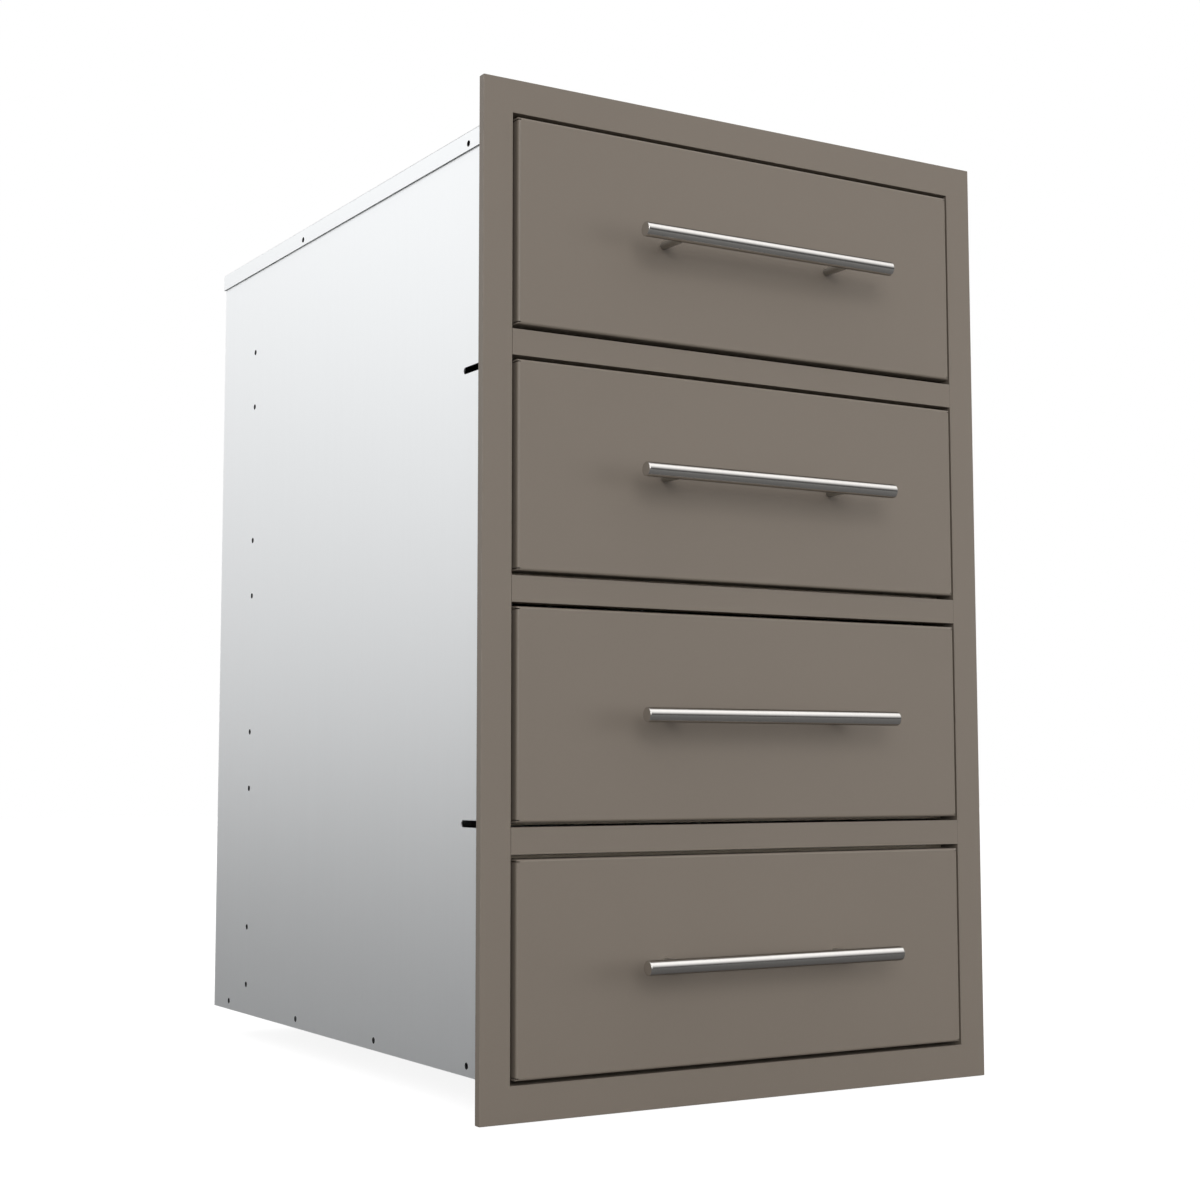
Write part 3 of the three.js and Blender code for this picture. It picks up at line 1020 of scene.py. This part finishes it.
class DRAWERUNIT_OT_lid_and_floor(bpy.types.Operator):
    """Fold the lid over the panels and the floor pan between them, and finish the back and the uprights"""

    bl_idname = "drawer_unit.lid_and_floor"
    bl_label = "Lid, Floor and Back"

    def execute(self, context):
        look = settings("cabinet")
        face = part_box("face_frame")[0].y
        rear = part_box("side_panel_left")[1].y
        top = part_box("side_panel_left")[1].z

        low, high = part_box("top_cover")
        lid_row = lid_holes(look, face, rear, high.z)
        reach, half, below = look.lid_seam_reach, look.lid_seam / 2, low.z - look.sheet
        thin_low, thin_high = (-reach, -half, below), (reach, half, high.z - look.fold)
        seams = [
            blade(thin_low, thin_high, (0, 0, -side * math.pi / 4), (x, high.y, 0))
            for x, side in ((low.x, 1), (high.x, -1))
        ]
        self.tray(look, "folded_lid", "top_cover", -1, lid_row, look.hole, seams)

        column, row = side_holes(look, face, rear, top)
        self.tray(look, "folded_floor_pan", "bottom_pan", 1, row, look.pilot)

        dress("back_panel", upright_steel())
        for side in SIDES:
            node = f"slide_upright_{side}"
            low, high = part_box(node)
            strip = block(f"holed_upright_{side}", low, high)
            cut_away(strip, hole_cutters((low.x + high.x) / 2, column, look.pilot))
            smooth(strip)
            put_on(strip, "cabinet", slide_steel(), [node])
            paint_hole_shade(strip, column, look.pilot)
        return {"FINISHED"}

    def tray(self, look, name, node, opens, holes, diameter, seams=()):
        """Sheet with its sides and rear folded the way it opens along Z, and holes in its sides."""
        low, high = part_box(node)
        piece = block(name, low, high)
        open_up(piece, facing(Z, opens), facing(Y, -1))
        flat = high.z if opens < 0 else low.z
        round_edges(piece, look.fold, 5, *meeting([(Z, flat)], (*ends(X, low, high), (Y, high.y))))
        thicken(piece, look.sheet)
        sides = [cutter for x in (low.x, high.x) for cutter in hole_cutters(x, holes, diameter)]
        cut_away(piece, [*seams, *sides])
        smooth(piece)
        put_on(piece, "cabinet", flat_steel(), [node])
        paint_hole_shade(piece, holes, diameter)


def dome(name, radius, rise):
    """Rivet head on the floor at the origin, its top up Z and almost wholly rounded."""
    piece = rod(name, Z, (0, 0, rise / 2), radius, rise, HEAD_SIDES)
    rounding = rise * 0.92
    round_edges(piece, rounding, 4, lambda edge: on_planes((Z, rise))(edge) and edge.is_manifold)
    return piece


def screw_head(name, radius, rise):
    """Pan head with a cross recess, on the floor at the origin, its top up Z."""
    piece = dome(name, radius, rise)
    half, reach, depth = radius * 0.1, radius * 0.56, rise * 0.6
    for x, y in ((reach, half), (half, reach)):
        cut_away(piece, [block("arm", (-x, -y, rise - depth), (x, y, rise + depth))])
    smooth(piece, degrees=40)
    return piece


FACING = {
    (X, 1): Matrix.Rotation(math.pi / 2, 4, "Y"),
    (X, -1): Matrix.Rotation(-math.pi / 2, 4, "Y"),
    (Y, 1): Matrix.Rotation(-math.pi / 2, 4, "X"),
    (Y, -1): Matrix.Rotation(math.pi / 2, 4, "X"),
}


class DRAWERUNIT_OT_rivets(bpy.types.Operator):
    """Rivet the back panel to the side panels' rear folds"""

    bl_idname = "drawer_unit.rivets"
    bl_label = "Rivets"

    def execute(self, context):
        look = settings("cabinet")
        model = dome("rivet", look.rivet, look.rivet_rise)
        smooth(model, degrees=50)
        for side in SIDES:
            low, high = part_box(f"side_panel_{side}")
            x = (low.x + high.x) / 2
            heights = evenly(low.z + look.rivet_setback, high.z - look.rivet_setback, look.rivet_count)
            places = [(x, high.y, height) for height in heights]
            rivets = scatter(model, places, FACING[Y, 1], f"back_rivets_{side}")
            put_on(rivets, "cabinet", slide_steel())
        discard(model)
        return {"FINISHED"}


# Slots in the webs: from a member's front to its first slot, from its rear to its last, how many, and each
# slot's length, its width as a multiple of the punched slot's, and the length of its cutter
RUNNER_SLOTS = {"front": 0.03, "rear": 0.045, "count": 6, "length": 0.014, "wide": 1.0, "depth": 0.005}
DRAWER_SLOTS = {"front": 0.06, "rear": 0.075, "count": 4, "length": 0.018, "wide": 1.2, "depth": 0.003}


class DRAWERUNIT_OT_slides(bpy.types.Operator):
    """Roll the members of the slides and punch their webs"""

    bl_idname = "drawer_unit.slides"
    bl_label = "Slides"

    def member(self, look, node, body, opens, roll, lip_return=0.0, slots=None):
        """Channel along Y that opens one way along X, its corners rolled, with turned-in lips or slots."""
        low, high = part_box(node)
        piece = block(f"rolled_{node}", low, high)
        open_up(piece, facing(X, opens), facing(Y, 1), facing(Y, -1))
        web, lip = (low.x, high.x) if opens > 0 else (high.x, low.x)
        if lip_return:
            for z, drop in ((low.z, lip_return), (high.z, -lip_return)):
                pick(piece, "EDGE", on_planes((X, lip), (Z, z)))
                bpy.ops.mesh.extrude_region_move(TRANSFORM_OT_translate={"value": (0, 0, drop)})
                done()
            lip_roll = look.sheet * 1.3
            round_edges(piece, lip_roll, 3, *meeting([(X, lip)], ends(Z, low, high)))
        round_edges(piece, roll, 4, *meeting([(X, web)], ends(Z, low, high)))
        thicken(piece, look.sheet)
        if slots:
            middle = (low.z + high.z) / 2
            width = look.punch * slots["wide"]
            starts = evenly(low.y + slots["front"], high.y - slots["rear"], slots["count"])
            cut_away(piece, [
                slot_cutter((web, y, middle), width, slots["length"], slots["depth"]) for y in starts
            ])
        smooth(piece)
        put_on(piece, body, slide_steel(), [node])

    def execute(self, context):
        look = settings("slides")
        tight = look.roll * 0.8
        for n in DRAWERS:
            for side, sign in SIDES.items():
                place = f"member_{n}_{side}"
                self.member(look, f"cabinet_{place}", "cabinet", -sign, look.roll, look.lip_return)
                self.member(look, f"runner_{place}", f"runners_{n}", -sign, tight, slots=RUNNER_SLOTS)
                self.member(look, f"drawer_{place}", f"drawer_{n}", sign, tight, slots=DRAWER_SLOTS)
        return {"FINISHED"}


class DRAWERUNIT_OT_ball_cages(bpy.types.Operator):
    """Set rows of balls in their cages between the members"""

    bl_idname = "drawer_unit.ball_cages"
    bl_label = "Ball Cages"

    def row(self, look, radius, x, start, z):
        """Row of balls along Y."""
        deselect_all()
        bpy.ops.mesh.primitive_ico_sphere_add(subdivisions=2, radius=radius, location=(x, start, z))
        ball = new_piece("ball")
        settle(ball)
        repeat = ball.modifiers.new("Row", "ARRAY")
        repeat.count = look.ball_count
        repeat.use_relative_offset = False
        repeat.use_constant_offset = True
        repeat.constant_offset_displace = (0, look.ball_pitch, 0)
        apply(ball, repeat)
        return ball

    def cage(self, look, radius, x, start, z):
        """Strip through the middle of a row, longer than the row and lower than its balls."""
        thin, beyond, half = look.cage / 2, radius * 3, radius * 0.62
        end = start + look.ball_pitch * (look.ball_count - 1)
        low = Vector((x - thin, start - beyond, z - half))
        high = Vector((x + thin, end + beyond, z + half))
        strip = block("strip", low, high)
        rounding = half * 0.6
        round_edges(strip, rounding, 3, *meeting(ends(Y, low, high), ends(Z, low, high)))
        return strip

    def execute(self, context):
        look = settings("slides")
        steel = plated("Bright plated balls and cages", look.bright, roughness=0.2)
        reach = look.ball_pitch * (look.ball_count - 1)
        for n in DRAWERS:
            parts = []
            for side in SIDES:
                outer_low, outer_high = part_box(f"cabinet_member_{n}_{side}")
                low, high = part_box(f"runner_member_{n}_{side}")
                inner_low, inner_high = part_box(f"drawer_member_{n}_{side}")
                outer_x = (outer_low.x + outer_high.x) / 2
                inner_x = (inner_low.x + inner_high.x) / 2
                outer_z = ((outer_high.z - look.sheet + high.z) / 2, (outer_low.z + look.sheet + low.z) / 2)
                inner_z = ((high.z - look.sheet + inner_high.z) / 2, (low.z + look.sheet + inner_low.z) / 2)
                rear_start = high.y - look.ball_setback - reach
                front_start = low.y + look.ball_setback
                rows = [(look.outer_ball, outer_x, rear_start, z) for z in outer_z]
                rows += [(look.inner_ball, inner_x, front_start, z) for z in inner_z]
                for row in rows:
                    parts += [self.row(look, *row), self.cage(look, *row)]
            balls = join(parts, f"ball_cages_{n}")
            take(balls)
            bpy.ops.object.shade_smooth_by_angle(angle=math.radians(50))
            put_on(balls, f"runners_{n}", steel)
        return {"FINISHED"}


class DRAWERUNIT_OT_tubs(bpy.types.Operator):
    """Fold the drawer tubs, their rims turned out and hemmed"""

    bl_idname = "drawer_unit.tubs"
    bl_label = "Drawer Tubs"

    def execute(self, context):
        look = settings("tubs")
        for n in DRAWERS:
            node = f"drawer_tub_{n}"
            low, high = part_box(node)
            wall_low = Vector((low.x + look.rim, low.y, low.z))
            wall_high = Vector((high.x - look.rim, high.y - look.rim, high.z - look.sheet))
            piece = block(f"folded_tub_{n}", wall_low, wall_high)
            open_up(piece, facing(Z, 1))
            across, along = ends(X, wall_low, wall_high), ends(Y, wall_low, wall_high)
            rim = (Z, wall_high.z)
            pick(piece, "EDGE", either(*meeting([rim], (*across, (Y, wall_high.y)))))
            bpy.ops.mesh.extrude_region_move(TRANSFORM_OT_translate={"value": (0, 0, 0)})
            grow = (high.x / wall_high.x, (high.y - low.y) / (wall_high.y - low.y), 1)
            bpy.ops.transform.resize(value=grow, center_override=(0, low.y, wall_high.z))
            bpy.ops.mesh.extrude_region_move(TRANSFORM_OT_translate={"value": (0, 0, -look.hem)})
            done()
            bottom, upright = meeting([(Z, low.z)], (*across, *along)), meeting(across, along)
            round_edges(piece, look.fold, 4, *bottom, *upright)

            def crown(edge):
                """Whether an edge of the rim lies between a flat face and an upright one."""
                rises = [face.normal.z for face in edge.link_faces]
                return on_planes(rim)(edge) and len(rises) == 2 and abs(rises[0] - rises[1]) > 0.5

            tight = look.sheet * 0.8
            round_edges(piece, tight, 2, crown)
            thicken(piece, look.sheet)
            smooth(piece)
            put_on(piece, f"drawer_{n}", tub_steel(), [node])
        return {"FINISHED"}


class DRAWERUNIT_OT_screws(bpy.types.Operator):
    """Screw the tubs to their fronts and to the slides"""

    bl_idname = "drawer_unit.screws"
    bl_label = "Screws"

    def execute(self, context):
        look = settings("tubs")
        slide_sheet = settings("slides").sheet
        model = screw_head("screw_model", look.screw, look.screw_rise)
        for n in DRAWERS:
            low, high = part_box(f"drawer_tub_{n}")
            inside = low.y + look.sheet
            heights = (look.screw_low, look.screw_high)
            places = [(sign * look.screw_side, inside, low.z + z) for sign in SIDES.values() for z in heights]
            groups = [scatter(model, places, FACING[Y, 1], "front_group")]
            for side, sign in SIDES.items():
                member_low, member_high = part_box(f"drawer_member_{n}_{side}")
                web = member_low.x + slide_sheet if sign > 0 else member_high.x - slide_sheet
                middle = (member_low.z + member_high.z) / 2
                first, last = member_low.y + look.screw_setback, member_high.y - look.screw_setback
                places = [(web, y, middle) for y in evenly(first, last, count=3)]
                groups.append(scatter(model, places, FACING[X, sign], "slide_group"))
            screws = join(groups, f"drawer_screws_{n}")
            put_on(screws, f"drawer_{n}", slide_steel())
        discard(model)
        return {"FINISHED"}


WHITE = (1, 1, 1, 1)

# Main directions of the back wall and of the right wall that metal reflects
REARWARDS = (-0.6, 0.8, 0)
RIGHTWARDS = (0.9, 0.44, 0)
# Limits between which a direction's Z fades the band in, the back wall into the ceiling, and that into the
# part overhead
BAND_RISE = (0.05, 0.80)
CEILING_RISE = (0.0, 0.5)
OVERHEAD_RISE = (0.38, 0.50)
# Limits of a direction's Y at the end of the front wall, and of its likeness to a wall's main direction
FRONT_END = (0.0, 0.3)
BACK_WALL = (0.45, 0.85)
RIGHT_WALL = (0.66, 0.9)
# Shade of the back wall from left to right
BACK_SHADE = {"limits": (-0.55, -0.28), "low": 1.02, "high": 0.86}


class DRAWERUNIT_OT_studio(bpy.types.Operator):
    """Set the floor, the light and the camera at the photograph's angle"""

    bl_idname = "drawer_unit.studio"
    bl_label = "Studio"

    def seen(self, tree, *rays):
        """One for the camera's rays and the other kinds that are named, zero for light on the object."""
        path = tree.nodes.new("ShaderNodeLightPath")
        total = path.outputs["Is Camera Ray"]
        for ray in rays:
            total = maths(tree, "MAXIMUM", total, path.outputs[ray])
        return total

    def likeness(self, tree, way, direction):
        return add_node(
            tree, "ShaderNodeVectorMath", {0: way, 1: direction}, operation="DOT_PRODUCT"
        ).outputs["Value"]

    def walls(self, tree, look):
        """Light of the surroundings: white for the camera, and for metal a room.

        The room has a front wall with a band of light above it, a back wall that pales into the ceiling up
        to a darker part overhead, and a right wall.
        """
        way = tree.nodes.new("ShaderNodeTexCoord").outputs["Generated"]
        axes = add_node(tree, "ShaderNodeSeparateXYZ", {0: way}).outputs
        band = ramp(tree, axes[Z], BAND_RISE, look.front_wall, look.band)
        front = ramp(tree, axes[Y], FRONT_END, band, look.front_wall)
        back = ramp(tree, axes[Z], CEILING_RISE, look.back_wall, look.ceiling)
        back = ramp(tree, axes[Z], OVERHEAD_RISE, back, look.overhead)
        back = maths(tree, "MULTIPLY", back, ramp(tree, axes[X], **BACK_SHADE))
        room = ramp(tree, self.likeness(tree, way, REARWARDS), BACK_WALL, front, back)
        room = ramp(tree, self.likeness(tree, way, RIGHTWARDS), RIGHT_WALL, room, look.right_wall)
        shine = tree.nodes.new("ShaderNodeLightPath").outputs["Is Glossy Ray"]
        return add_node(tree, "ShaderNodeMix", {0: shine, 2: 1.0, 3: room}, data_type="FLOAT").outputs[0]

    def surroundings(self, look):
        """World of even light on the object, which the camera sees white and metal sees as a room."""
        world = bpy.data.worlds.new("Studio light")
        world.use_nodes = True
        tree = world.node_tree
        tree.nodes.clear()
        fill = add_node(tree, "ShaderNodeBackground", {"Color": WHITE, "Strength": look.sky})
        walls = add_node(tree, "ShaderNodeBackground", {"Color": WHITE, "Strength": self.walls(tree, look)})
        seen = self.seen(tree, "Is Transmission Ray", "Is Glossy Ray")
        mix = add_node(tree, "ShaderNodeMixShader", {0: seen, 1: fill.outputs[0], 2: walls.outputs[0]})
        out = tree.nodes.new("ShaderNodeOutputWorld")
        tree.links.new(mix.outputs[0], out.inputs["Surface"])
        return world

    def floor_material(self, look):
        """Matt floor, which the camera and glass see nearly white and metal sees darker."""
        material = bpy.data.materials.new("Pale studio floor")
        material.use_nodes = True
        tree = material.node_tree
        tree.nodes.clear()
        shine = tree.nodes.new("ShaderNodeLightPath").outputs["Is Glossy Ray"]
        tones = {0: shine, 6: rgba(look.floor), 7: rgba(look.floor_shine)}
        tone = add_node(tree, "ShaderNodeMix", tones, data_type="RGBA")
        matt = add_node(tree, "ShaderNodeBsdfDiffuse", {"Color": tone.outputs[2]})
        lift = maths(tree, "MULTIPLY", self.seen(tree, "Is Transmission Ray"), look.floor_white)
        glow = add_node(tree, "ShaderNodeEmission", {"Color": WHITE, "Strength": lift})
        total = add_node(tree, "ShaderNodeAddShader", {0: matt.outputs[0], 1: glow.outputs[0]})
        out = tree.nodes.new("ShaderNodeOutputMaterial")
        tree.links.new(total.outputs[0], out.inputs["Surface"])
        return material

    def soft_light(self, look, name, shine):
        """Square light turned to the middle of the unit, with or without a shine on metal."""
        place = getattr(look, f"{name}_place")
        deselect_all()
        bpy.ops.object.light_add(type="AREA", location=place)
        light = bpy.context.object
        light.name = f"{name}_light"
        light.visible_glossy = shine
        light.data.energy = getattr(look, name)
        light.data.size = getattr(look, f"{name}_size")
        low, high = (Vector(corner) for corner in CAD_BOX)
        aim = (low + high) / 2 - Vector(place)
        light.rotation_euler = aim.to_track_quat("-Z", "Y").to_euler()

    def execute(self, context):
        look = settings("studio")
        scene = context.scene
        scene.view_settings.view_transform = "Standard"
        scene.world = self.surroundings(look)

        deselect_all()
        floor_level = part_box("face_frame")[0].z - look.floor_gap
        bpy.ops.mesh.primitive_plane_add(size=look.floor_size, location=(0, 0, floor_level))
        floor = new_piece("studio_floor")
        settle(floor)
        floor.data.materials.append(self.floor_material(look))

        for name, shine in (("key", True), ("side", False), ("lift", False)):
            self.soft_light(look, name, shine)

        sin_yaw, cos_yaw = math.sin(look.yaw), math.cos(look.yaw)
        sin_pitch, cos_pitch = math.sin(look.pitch), math.cos(look.pitch)
        right = Vector((cos_yaw, -sin_yaw, 0))
        ahead = Vector((sin_yaw * cos_pitch, cos_yaw * cos_pitch, sin_pitch))
        up = right.cross(ahead)
        turn = Matrix((right, up, -ahead)).transposed()
        camera_data = bpy.data.cameras.new("studio_camera")
        camera = bpy.data.objects.new("studio_camera", camera_data)
        scene.collection.objects.link(camera)
        camera.matrix_world = Matrix.Translation(Vector(look.place)) @ turn.to_4x4()
        camera_data.sensor_width = 36
        camera_data.lens = look.lens
        camera_data.shift_x = look.shift_x
        camera_data.shift_y = look.shift_y
        camera_data.clip_start = 0.01
        camera_data.clip_end = 100
        scene.camera = camera
        return {"FINISHED"}


STEPS = (
    DRAWERUNIT_OT_face_frame,
    DRAWERUNIT_OT_mid_rails,
    DRAWERUNIT_OT_drawer_fronts,
    DRAWERUNIT_OT_handles,
    DRAWERUNIT_OT_side_panels,
    DRAWERUNIT_OT_lid_and_floor,
    DRAWERUNIT_OT_rivets,
    DRAWERUNIT_OT_slides,
    DRAWERUNIT_OT_ball_cages,
    DRAWERUNIT_OT_tubs,
    DRAWERUNIT_OT_screws,
    DRAWERUNIT_OT_studio,
)


class DRAWERUNIT_PT_sidebar(bpy.types.Panel):
    """Steps of the drawer unit, in the order in which it is built"""

    bl_idname = "DRAWERUNIT_PT_sidebar"
    bl_label = "Drawer Unit"
    bl_space_type = "VIEW_3D"
    bl_region_type = "UI"
    bl_category = "Drawer Unit"

    def draw(self, context):
        for step in STEPS:
            self.layout.operator(step.bl_idname, text=step.bl_label)


GROUPS = {
    "coated_front": CoatedFrontSettings,
    "cabinet": CabinetSettings,
    "handles": HandleSettings,
    "slides": SlideSettings,
    "tubs": TubSettings,
    "studio": StudioSettings,
}


def register():
    for name, group in GROUPS.items():
        bpy.utils.register_class(group)
        setattr(bpy.types.Scene, name, PointerProperty(type=group))
    for step in (*STEPS, DRAWERUNIT_PT_sidebar):
        bpy.utils.register_class(step)


def unregister():
    for step in (DRAWERUNIT_PT_sidebar, *reversed(STEPS)):
        bpy.utils.unregister_class(step)
    for name, group in reversed(GROUPS.items()):
        delattr(bpy.types.Scene, name)
        bpy.utils.unregister_class(group)


def main():
    register()
    build = bpy.ops.drawer_unit
    build.face_frame()
    build.mid_rails()
    build.drawer_fronts()
    build.handles()
    build.side_panels()
    build.lid_and_floor()
    build.rivets()
    build.slides()
    build.ball_cages()
    build.tubs()
    build.screws()
    build.studio()


if __name__ == "__main__":
    main()
